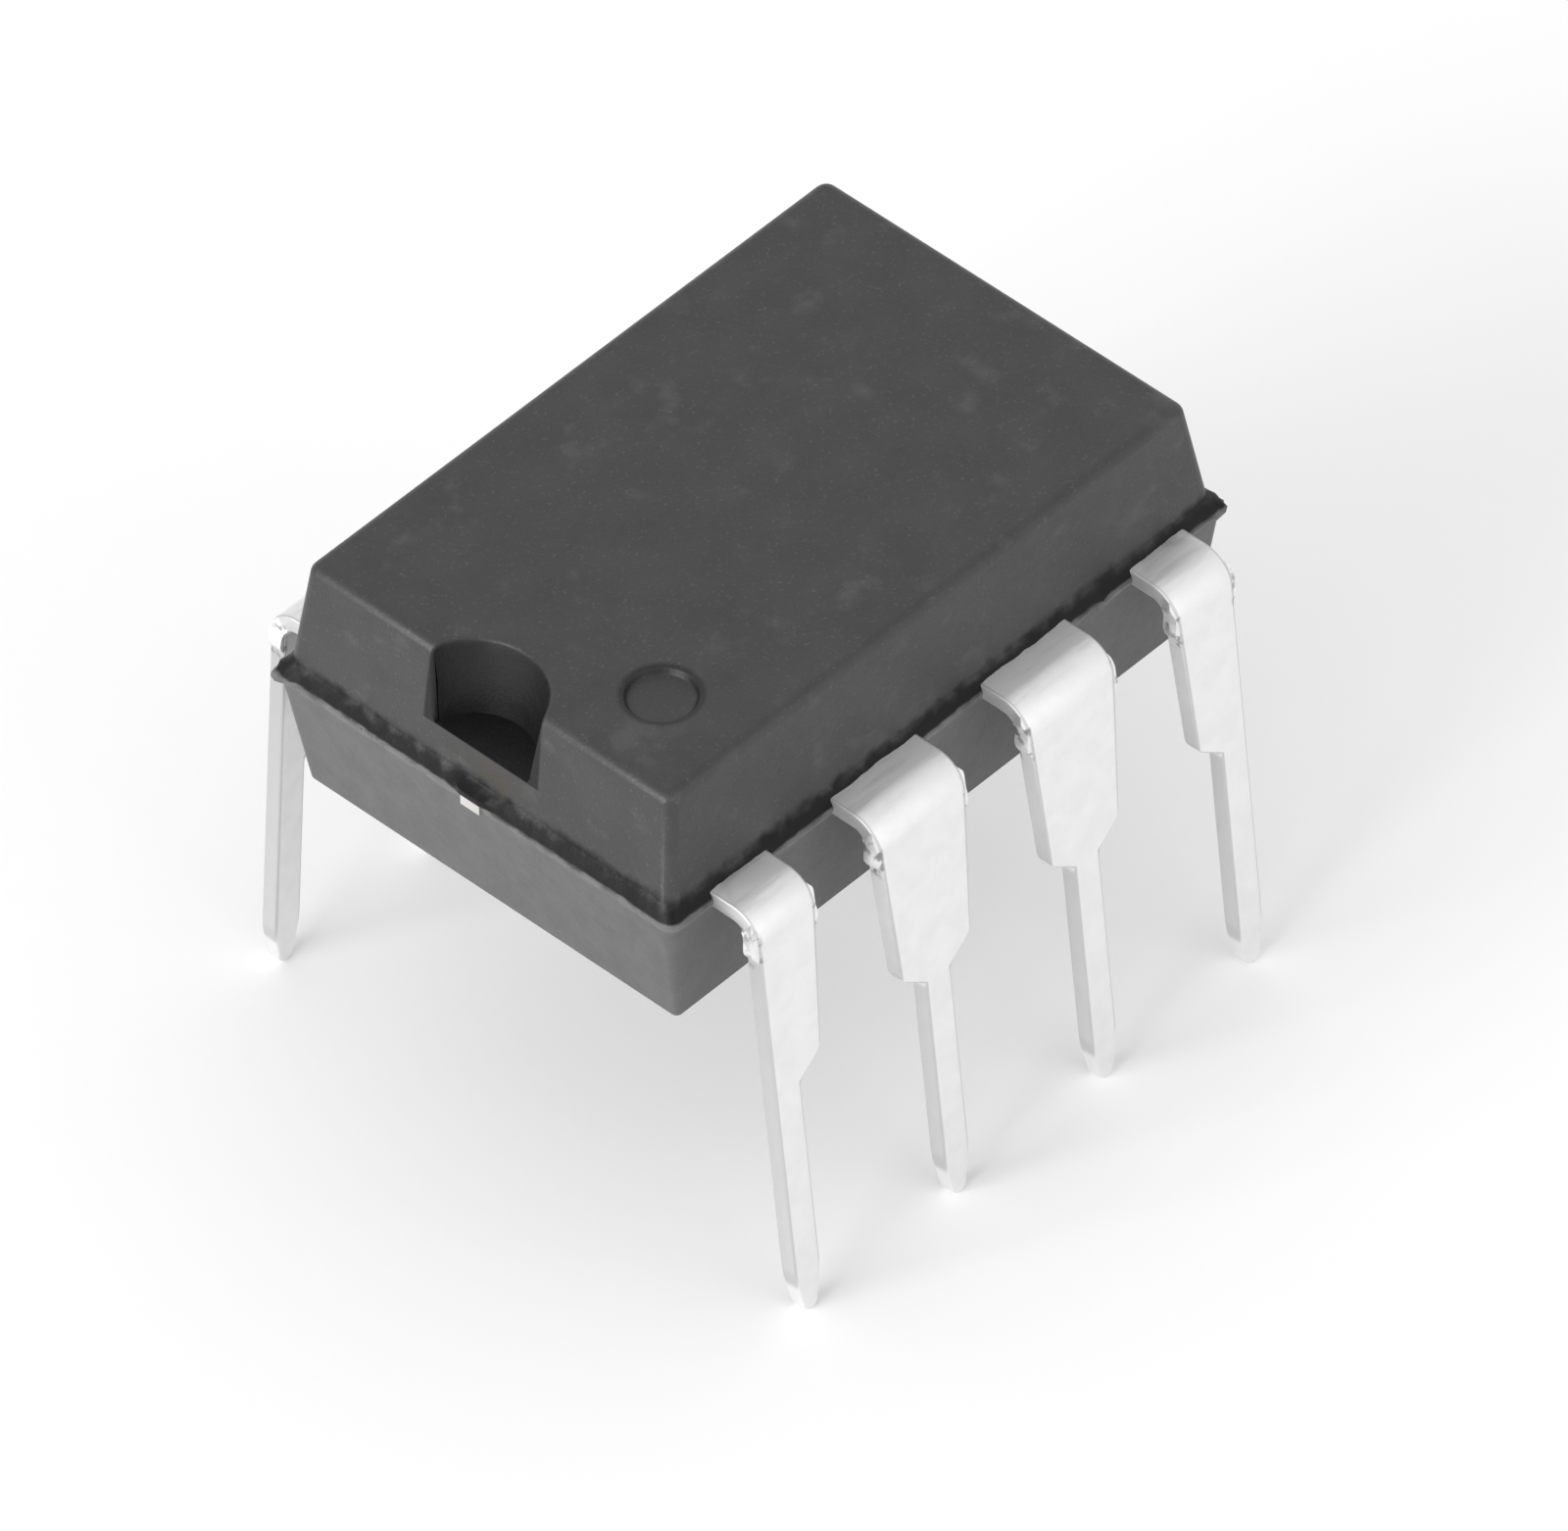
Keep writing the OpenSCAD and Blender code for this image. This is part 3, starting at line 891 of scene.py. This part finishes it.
@dataclass(frozen=True)
class FlashBand:
    """The ragged epoxy that crept out between the mould's halves, and the skirt above it."""

    parting_z: float
    half: tuple[float, float]
    upper_half: tuple[float, float]
    corner_r: float
    corner_steps: int = 6
    cuts: int = 150
    # Waves in a millimetre of the two noises that make it ragged, and the finer one's share.
    coarse_waves: float = 2.3
    fine_waves: float = 11.0
    fine_share: float = 0.8
    # The hood over a tie bar's cut end: half its width, its reach, and its foot and top.
    stub_half: float = 0.17
    hood: float = 0.05
    hood_span: tuple[float, float] = (0.02, 0.16)
    # Place, reach and spread of the lumps of flash.
    lumps: tuple[tuple[float, float, float, float], ...] = (
        (-4.70, 3.17, 0.12, 0.34),
        (4.70, -3.17, 0.08, 0.26),
        (2.55, -3.17, 0.04, 0.14),
    )

    def rings(self) -> list[tuple[float, tuple[float, float], float, float]]:
        """The band's outlines from the lowest up: height, half sizes, reach past them, raggedness."""
        return [
            (-0.13, self.half, -0.040, 0.0),
            (-0.09, self.half, -0.008, 0.016),
            (-0.04, self.half, 0.010, 0.022),
            (0.00, self.half, 0.014, 0.022),
            (0.04, self.half, -0.004, 0.022),
            (0.12, self.upper_half, 0.040, 0.020),
            (0.20, self.upper_half, -0.010, 0.020),
            (0.27, self.upper_half, -0.070, 0.0),
        ]

    def build(self) -> Object:
        """Models the band.

        Returns:
            A closed band whose upper and lower ends lie inside the walls.
        """
        rings = self.rings()
        sizes = [[side + beyond for side in half] for _, half, beyond, _ in rings]
        start = Vector((0, 0, self.parting_z + rings[0][0]))
        band = Bench.plate("flash", (2 * sizes[0][0], 2 * sizes[0][1]), start)
        with Bench.editing(band):
            bpy.ops.mesh.bevel(offset=self.corner_r, segments=self.corner_steps, affect="VERTICES")
            Bench.pick_edges(band, lambda e: e.calc_length() > 1.0)
            bpy.ops.mesh.subdivide(number_cuts=self.cuts)
            bpy.ops.mesh.select_mode(type="FACE")
            bpy.ops.mesh.select_all(action="SELECT")
            for index in range(1, len(rings)):
                Bench.raise_to(sizes[index - 1], sizes[index], rings[index][0] - rings[index - 1][0])
        for vertex in band.data.vertices:
            ring = min(rings, key=lambda r: abs(self.parting_z + r[0] - vertex.co.z))
            self.roughen(vertex, ring[3])
        Bench.outward(band)
        return band

    def roughen(self, vertex: bpy.types.MeshVertex, ragged: float) -> None:
        """Moves a vertex in or out, by chance, by the lumps and by the hood over a tie bar's cut end.

        Args:
            vertex: The vertex.
            ragged: How far chance moves it, 0 for a vertex that stays.
        """
        if ragged == 0.0:
            return
        inner = [side - self.corner_r for side in self.half]
        nearest = Vector((
            max(-inner[0], min(inner[0], vertex.co.x)),
            max(-inner[1], min(inner[1], vertex.co.y)),
        ))
        outwards = (vertex.co.xy - nearest).normalized()
        coarse = noise.noise(vertex.co * self.coarse_waves)
        fine = noise.noise(vertex.co * self.fine_waves + Vector((3.1, 0, 0)))
        reach = ragged * (coarse + self.fine_share * fine)
        for x, y, height, spread in self.lumps:
            share = (vertex.co.xy - Vector((x, y))).length / spread
            reach += height * max(0.0, 1 - share) * (0.9 + self.fine_share * fine)
        if abs(outwards.x) > 0.9:
            covered = self.hood_span[0] < vertex.co.z - self.parting_z < self.hood_span[1]
            over = self.half[0] + self.hood - abs(vertex.co.x) if covered else 0.0
            share = max(0.0, min(1.0, 2 - abs(vertex.co.y) / self.stub_half))
            reach += share * (over - reach)
        vertex.co.x += outwards.x * reach
        vertex.co.y += outwards.y * reach


# ---------------------------------------------------------------- leads


class LeadKind(Enum):
    """A lead's place in its row, which sets its outline."""

    MIDDLE = "middle"
    CORNER = "corner"


@dataclass
class LeadRow:
    """The eight stamped and tinned leads."""

    parting_z: float
    body_half_width: float
    frame_t: float = FRAME_T
    leg_w: float = 0.42
    shoulder_w: float = 1.46
    shoulder_foot_w: float = 1.17
    shoulder_drop: float = 2.38
    shoulder_chamfer: float = 0.26
    reach: float = 0.309
    bend_r: float = 0.20
    bend_steps: int = 14
    splay: float = 4.6
    tip_len: float = 0.60
    tip_w: float = 0.24
    root_len: float = 0.60
    finger_taper: float = 0.40
    finger_w: float = 0.70
    frame_gap: float = 0.25
    lock_d: float = 0.36
    lock_in: float = 0.36
    tie_w: float = 0.30
    paddle_half: tuple[float, float] = (1.75, 1.15)
    pitch: float = 2.54
    edge_r: float = 0.028
    outline_r: float = 0.12
    stub_sunk: float = 0.05
    stub_proud: float = 0.060
    stub_len: float = 0.30
    # Where round the bend the cut bar begins, as a share of a right angle, and its ends' lengths.
    stub_start: float = 0.42
    stub_ends: tuple[float, float] = (0.2, 0.12)
    stub_waves: float = 4.5
    smooth_angle: float = 40.0

    def __post_init__(self) -> None:
        """Works out the bend and the lengths along the leg."""
        self.out_r = self.bend_r + self.frame_t
        self.bend_y = self.body_half_width + self.reach
        self.bend_z = self.frame_t / 2 - self.out_r
        tilt = math.radians(self.splay)
        self.down = Vector((0, math.sin(tilt), -math.cos(tilt)))
        self.outward = Vector((0, math.cos(tilt), math.sin(tilt)))
        self.leg_len = (self.parting_z + self.bend_z + self.bend_r * math.sin(tilt)) / math.cos(tilt)
        shoulder_drop = self.shoulder_drop + self.bend_z + self.out_r * math.sin(tilt)
        self.shoulder_len = shoulder_drop / math.cos(tilt)

    def build(self) -> list[Object]:
        """Models one lead of each kind and copies it to its places.

        Returns:
            The eight leads in the order of their pins, in metres.
        """
        masters = {kind: self.model(kind) for kind in LeadKind}
        leads = []
        for number in range(1, 9):
            side = -1 if number <= 4 else 1
            place = number - 1 if number <= 4 else 8 - number
            x = (place - 1.5) * self.pitch
            lead = Bench.twin(masters[self.kind_of(number)], f"tinned_lead_{number}")
            end = 1 if x > 0 else -1
            lead.data.transform(Matrix.Diagonal((-end, side, 1, 1)))
            lead.data.transform(Matrix.Translation((x, 0, self.parting_z)))
            Bench.outward(lead)
            Bench.to_metres(lead)
            Bench.polish(lead, self.smooth_angle)
            leads.append(lead)
        for master in masters.values():
            bpy.data.objects.remove(master)
        return leads

    @staticmethod
    def kind_of(number: int) -> LeadKind:
        """Says which kind of lead a pin is."""
        return LeadKind.CORNER if number in (1, 4, 5, 8) else LeadKind.MIDDLE

    def finish(self, kind: LeadKind) -> TinPlate:
        """The finish of one kind of lead, which knows where the bar between the leads was cut."""
        corner = kind is LeadKind.CORNER
        return TinPlate(
            f"tin_plate_{kind.value}",
            self.parting_z,
            (1.5 if corner else 0.5) * self.pitch,
            (-self.shoulder_w / 2, (self.leg_w if corner else self.shoulder_w) / 2),
            (self.leg_w / 2, self.shoulder_foot_w / 2),
            self.parting_z - self.shoulder_drop,
            self.shoulder_chamfer,
        )

    def model(self, kind: LeadKind) -> Object:
        """Models a lead on the +Y side, with its leg at x = 0 and the body's middle towards +X.

        Args:
            kind: Middle or corner lead.

        Returns:
            The lead in millimetres, with the parting plane at z = 0.
        """
        corner = kind is LeadKind.CORNER
        inner = self.shoulder_w / 2
        outer = -self.leg_w / 2 if corner else -inner
        sections = self.finger_sections(corner, outer, inner)
        first_y, left, right = sections[0]
        place = Vector(((left + right) / 2, first_y, 0))
        lead = Bench.plate(f"lead_{kind.value}", (right - left, self.frame_t), place, upright=True)
        with Bench.editing(lead):
            now = (left, right)
            for (y_from, *_), (y_to, left, right) in zip(sections, sections[1:]):
                now = self.grow(Vector((0, y_to - y_from, 0)), now, (left, right))
            self.bend()
            leg = (-self.leg_w / 2, self.leg_w / 2)
            half_foot = self.shoulder_foot_w / 2
            foot = (outer if corner else -half_foot, half_foot)
            straight = self.leg_len - self.shoulder_len - self.shoulder_chamfer - self.tip_len
            now = self.grow(self.down * self.shoulder_len, now, foot)
            now = self.grow(self.down * self.shoulder_chamfer, now, leg)
            now = self.grow(self.down * straight, now, leg)
            self.grow_tip(now)
        Bench.outward(lead)
        self.cut_lock(lead, (outer + inner) / 2)
        self.ease_outline(lead)
        for edge_x, way in ((outer, -1), (inner, 1)):
            Bench.boolean(lead, self.stub(edge_x, way), "UNION")
        return lead

    def bend(self) -> None:
        """Spins the selected face round the bend, from level to the slope of the leg."""
        bpy.ops.mesh.spin(
            steps=self.bend_steps,
            angle=math.radians(90 - self.splay),
            center=(0, self.bend_y, self.bend_z),
            axis=(1, 0, 0),
        )

    def stub(self, edge_x: float, way: int) -> Object:
        """Models what is left of the bar that joined the leads, on one side of the bend.

        Args:
            edge_x: The lead's edge along X.
            way: The way along X that leads out of the lead, 1 or -1.

        Returns:
            A ragged strip along the bend, sunk into the lead where the bar did not reach it.
        """
        recess = 0.012
        place = Vector((edge_x, self.bend_y, 0))
        strip = Bench.plate("stub", (2 * self.stub_sunk, self.frame_t - 2 * recess), place, upright=True)
        with Bench.editing(strip):
            bpy.ops.mesh.subdivide(number_cuts=3)
            bpy.ops.mesh.select_all(action="SELECT")
            self.bend()
            for _ in range(6):
                Bench.extrude(self.down * self.stub_len / 6)
        centre = Vector((0, self.bend_y, self.bend_z))
        for vertex in strip.data.vertices:
            spoke = vertex.co - centre
            depth = spoke.dot(self.down)
            turned = math.atan2(spoke.y, spoke.z) / (math.pi / 2)
            rise = (turned - self.stub_start) / self.stub_ends[0]
            fall = (self.stub_len - depth) / self.stub_ends[1]
            swell = max(0.0, min(1.0, rise, fall))
            ragged = 0.75 + 0.9 * noise.noise(vertex.co * self.stub_waves)
            proud = swell * self.stub_proud * ragged - (1 - swell) * self.stub_sunk / 2
            share = ((vertex.co.x - edge_x) * way + self.stub_sunk) / (2 * self.stub_sunk)
            vertex.co.x = edge_x + way * (share * (self.stub_sunk + proud) - self.stub_sunk)
        Bench.outward(strip)
        return strip

    def finger_sections(
        self, corner: bool, outer: float, inner: float
    ) -> list[tuple[float, float, float]]:
        """Cross-sections of the flat part, from the finger's tip to the bend.

        Args:
            corner: True for a corner lead.
            outer: The shoulder's outer edge.
            inner: The shoulder's inner edge.

        Returns:
            The place along Y and the two edges of each section.
        """
        root_y = self.body_half_width - self.root_len
        mid_y = self.paddle_half[1] + self.frame_gap
        if not corner:
            half = self.finger_w / 2
            return [
                (mid_y, -half, half),
                (root_y - self.finger_taper, -half, half),
                (root_y, outer, inner),
                (self.bend_y, outer, inner),
            ]
        end_y = self.tie_w / 2 + self.frame_gap
        near = 1.5 * self.pitch - self.paddle_half[0] - self.frame_gap
        far = near - self.finger_w
        turn_y = (mid_y + end_y) / 2
        share = (mid_y - turn_y) / (root_y - turn_y)
        return [
            (end_y, far, near),
            (turn_y, far, near),
            (mid_y, far + (outer - far) * share, near),
            (root_y, outer, inner),
            (self.bend_y, outer, inner),
        ]

    @staticmethod
    def grow(move: Vector, now: tuple[float, float], then: tuple[float, float]) -> tuple[float, float]:
        """Extrudes the end face and brings it to a new width.

        Args:
            move: How far the face moves.
            now: Its two edges along X.
            then: The edges it is to have.

        Returns:
            The new edges.
        """
        Bench.extrude(move)
        if then != now:
            ratio = (then[1] - then[0]) / (now[1] - now[0])
            middle = (now[0] + now[1]) / 2
            Bench.resize((ratio, 1.0, 1.0), Vector((middle, 0, 0)))
            Bench.shift(Vector(((then[0] + then[1]) / 2 - middle, 0, 0)))
        return then

    def grow_tip(self, now: tuple[float, float]) -> None:
        """Tapers the leg to its tip and rounds the tip off."""
        round_r = self.tip_w / 2
        now = self.grow(self.down * (self.tip_len - round_r), now, (-round_r, round_r))
        steps = 5
        for step in range(1, steps + 1):
            before, after = (math.pi / 2 * k / (steps + 0.4) for k in (step - 1, step))
            half = round_r * math.cos(after)
            rise = self.down * round_r * (math.sin(after) - math.sin(before))
            now = self.grow(rise, now, (-half, half))

    def cut_lock(self, lead: Object, x: float) -> None:
        """Cuts the round hole that locks the finger in the moulding."""
        place = Vector((x, self.body_half_width - self.lock_in, -self.frame_t))
        hole = Bench.cone("lock_cutter", (self.lock_d / 2,) * 2, place, 2 * self.frame_t, 32)
        Bench.boolean(lead, hole, "DIFFERENCE")

    def ease_outline(self, lead: Object) -> None:
        """Rounds the corners of the outline, then every long edge."""
        foot = self.shoulder_len
        ends = (foot, foot + self.shoulder_chamfer, self.leg_len - self.tip_len)
        base = Vector((0, self.bend_y, self.bend_z))
        with Bench.editing(lead):
            bpy.ops.mesh.dissolve_limited(angle_limit=math.radians(0.6))

            def at_corner(edge: bmesh.types.BMEdge) -> bool:
                """True for an edge through the sheet at a corner of the leg's outline."""
                along = (edge.verts[1].co - edge.verts[0].co).normalized()
                depth = (edge.verts[0].co - base).dot(self.down)
                near = any(abs(depth - end) < 0.01 for end in ends)
                return near and abs(along.dot(self.outward)) > 0.99

            Bench.pick_edges(lead, at_corner)
            Bench.round_off(self.outline_r, 4)
        Bench.activate(lead)
        step = lead.modifiers.new(name="eased_edges", type="BEVEL")
        step.width = self.edge_r
        step.segments = 3
        step.limit_method = "ANGLE"
        step.angle_limit = math.radians(50)
        step.use_clamp_overlap = False
        bpy.ops.object.modifier_apply(modifier=step.name)


# ---------------------------------------------------------------- studio


@dataclass(frozen=True)
class Camera:
    """The camera: its bearing round the chip, its roll and where it is aimed, in millimetres."""

    azimuth: float = -45.47
    elevation: float = 44.90
    roll: float = -1.77
    distance: float = 281.19
    lens: float = 554.7
    aim_right: float = 0.38
    aim_up: float = -2.06

    def place(self, centre: Vector) -> Object:
        """Sets the camera up.

        Args:
            centre: The middle of the chip's parting plane, in millimetres.

        Returns:
            The camera.
        """
        azimuth, elevation, roll = (math.radians(a) for a in (self.azimuth, self.elevation, self.roll))
        back = Vector((
            math.sin(azimuth) * math.cos(elevation),
            -math.cos(azimuth) * math.cos(elevation),
            math.sin(elevation),
        ))
        level = Vector((math.cos(azimuth), math.sin(azimuth), 0))
        rise = back.cross(level)
        right = math.cos(roll) * level + math.sin(roll) * rise
        up = math.cos(roll) * rise - math.sin(roll) * level
        place = centre + self.aim_right * right + self.aim_up * up + self.distance * back
        bpy.ops.object.camera_add(location=place * MM)
        camera = bpy.context.object
        camera.name = "camera"
        camera.rotation_euler = Matrix((right, up, back)).transposed().to_euler()
        camera.data.sensor_width = 36.0
        camera.data.lens = self.lens
        camera.data.clip_start = 0.01
        camera.data.clip_end = 10.0
        bpy.context.scene.camera = camera
        return camera


@dataclass(frozen=True)
class Softbox:
    """A square soft light that is aimed at the chip; sizes and places are in metres."""

    name: str
    place: tuple[float, float, float]
    size: float
    power: float

    def hang(self, target: Vector) -> Object:
        """Hangs the light.

        Args:
            target: The point it is aimed at, in metres.

        Returns:
            The light.
        """
        bpy.ops.object.light_add(type="AREA", location=self.place)
        light = bpy.context.object
        light.name = self.name
        light.data.shape = "SQUARE"
        light.data.size = self.size
        light.data.energy = self.power
        light.rotation_euler = (target - Vector(self.place)).to_track_quat("-Z", "Y").to_euler()
        return light


@dataclass(frozen=True)
class Studio:
    """A pale floor, soft surroundings and soft lights."""

    surround: tuple[float, float, float] = (1.0, 1.0, 1.0)
    strength: float = 0.88
    floor_size: float = 3.0
    lights: tuple[Softbox, ...] = (
        Softbox("left_softbox", (-0.50, 0.05, 0.15), 0.40, 2.6),
        Softbox("front_softbox", (0.05, -0.50, 0.20), 0.40, 0.4),
    )

    def build(self, target: Vector) -> Object:
        """Lays the floor, sets the surroundings and hangs the lights.

        Args:
            target: The point that the lights are aimed at, in metres.

        Returns:
            The floor.
        """
        world = bpy.data.worlds.new("soft_surround")
        world.use_nodes = True
        background = next(n for n in world.node_tree.nodes if n.type == "BACKGROUND")
        background.inputs["Color"].default_value = (*self.surround, 1.0)
        background.inputs["Strength"].default_value = self.strength
        bpy.context.scene.world = world
        for light in self.lights:
            light.hang(target)
        Bench.clear()
        bpy.ops.mesh.primitive_plane_add(size=self.floor_size)
        floor = Bench.settle("floor")
        dress(floor, Floor().build())
        return floor


# ---------------------------------------------------------------- the whole scene


def report(piece: Object, stands_for: str) -> None:
    """Says in the log what a piece is and how large it came out."""
    size = [side / MM for side in piece.dimensions]
    LOG.info(
        "%s stands for %s: %d faces, %.2f x %.2f x %.2f mm",
        piece.name, stands_for, len(piece.data.polygons), *size,
    )


def main() -> None:
    """Builds the chip around the CAD frame, dresses every piece and sets up the studio."""
    logging.basicConfig(level=logging.INFO, format="%(name)s: %(message)s")
    parting_z = box_mm("pin_2")[1].z - FRAME_T / 2
    centre = Vector((0, 0, parting_z))
    bpy.context.scene.view_settings.view_transform = "Standard"
    Camera().place(centre)
    Studio().build(centre * MM)

    shell = MouldedBody(parting_z)
    body = shell.build()
    dress(body, shell.finish().build())
    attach(body, ROOT_BODY)
    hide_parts("moulded_body")
    report(body, "moulded_body")

    row = LeadRow(parting_z, shell.half[1])
    tin = {kind: row.finish(kind).build() for kind in LeadKind}
    for number, lead in enumerate(row.build(), start=1):
        dress(lead, tin[LeadRow.kind_of(number)])
        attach(lead, ROOT_BODY)
        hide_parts(f"pin_{number}")
        report(lead, f"pin_{number}")

    alloy = Metal("frame_alloy", (0.84, 0.83, 0.81), (0.70, 0.69, 0.66), 0.28)
    adhesive = Mineral("silver_adhesive", (0.55, 0.55, 0.52), (0.42, 0.42, 0.40), 0.6, 9.0)
    silicon = Mineral("polished_silicon", (0.10, 0.11, 0.15), (0.14, 0.15, 0.20), 0.12, 3.0)
    gold = Metal("bond_gold", (0.95, 0.70, 0.28), (0.88, 0.60, 0.22), 0.2).build()
    inner = {
        "die_paddle": alloy.build(),
        "die_attach": adhesive.build(),
        "silicon_die": silicon.build(),
        **{f"bond_wire_{number}": gold for number in range(1, 9)},
    }
    for node, material in inner.items():
        dress(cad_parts[node], material)
        LOG.info("%s keeps its CAD shape, dressed in %s", node, material.name)


if __name__ == "__main__":
    main()
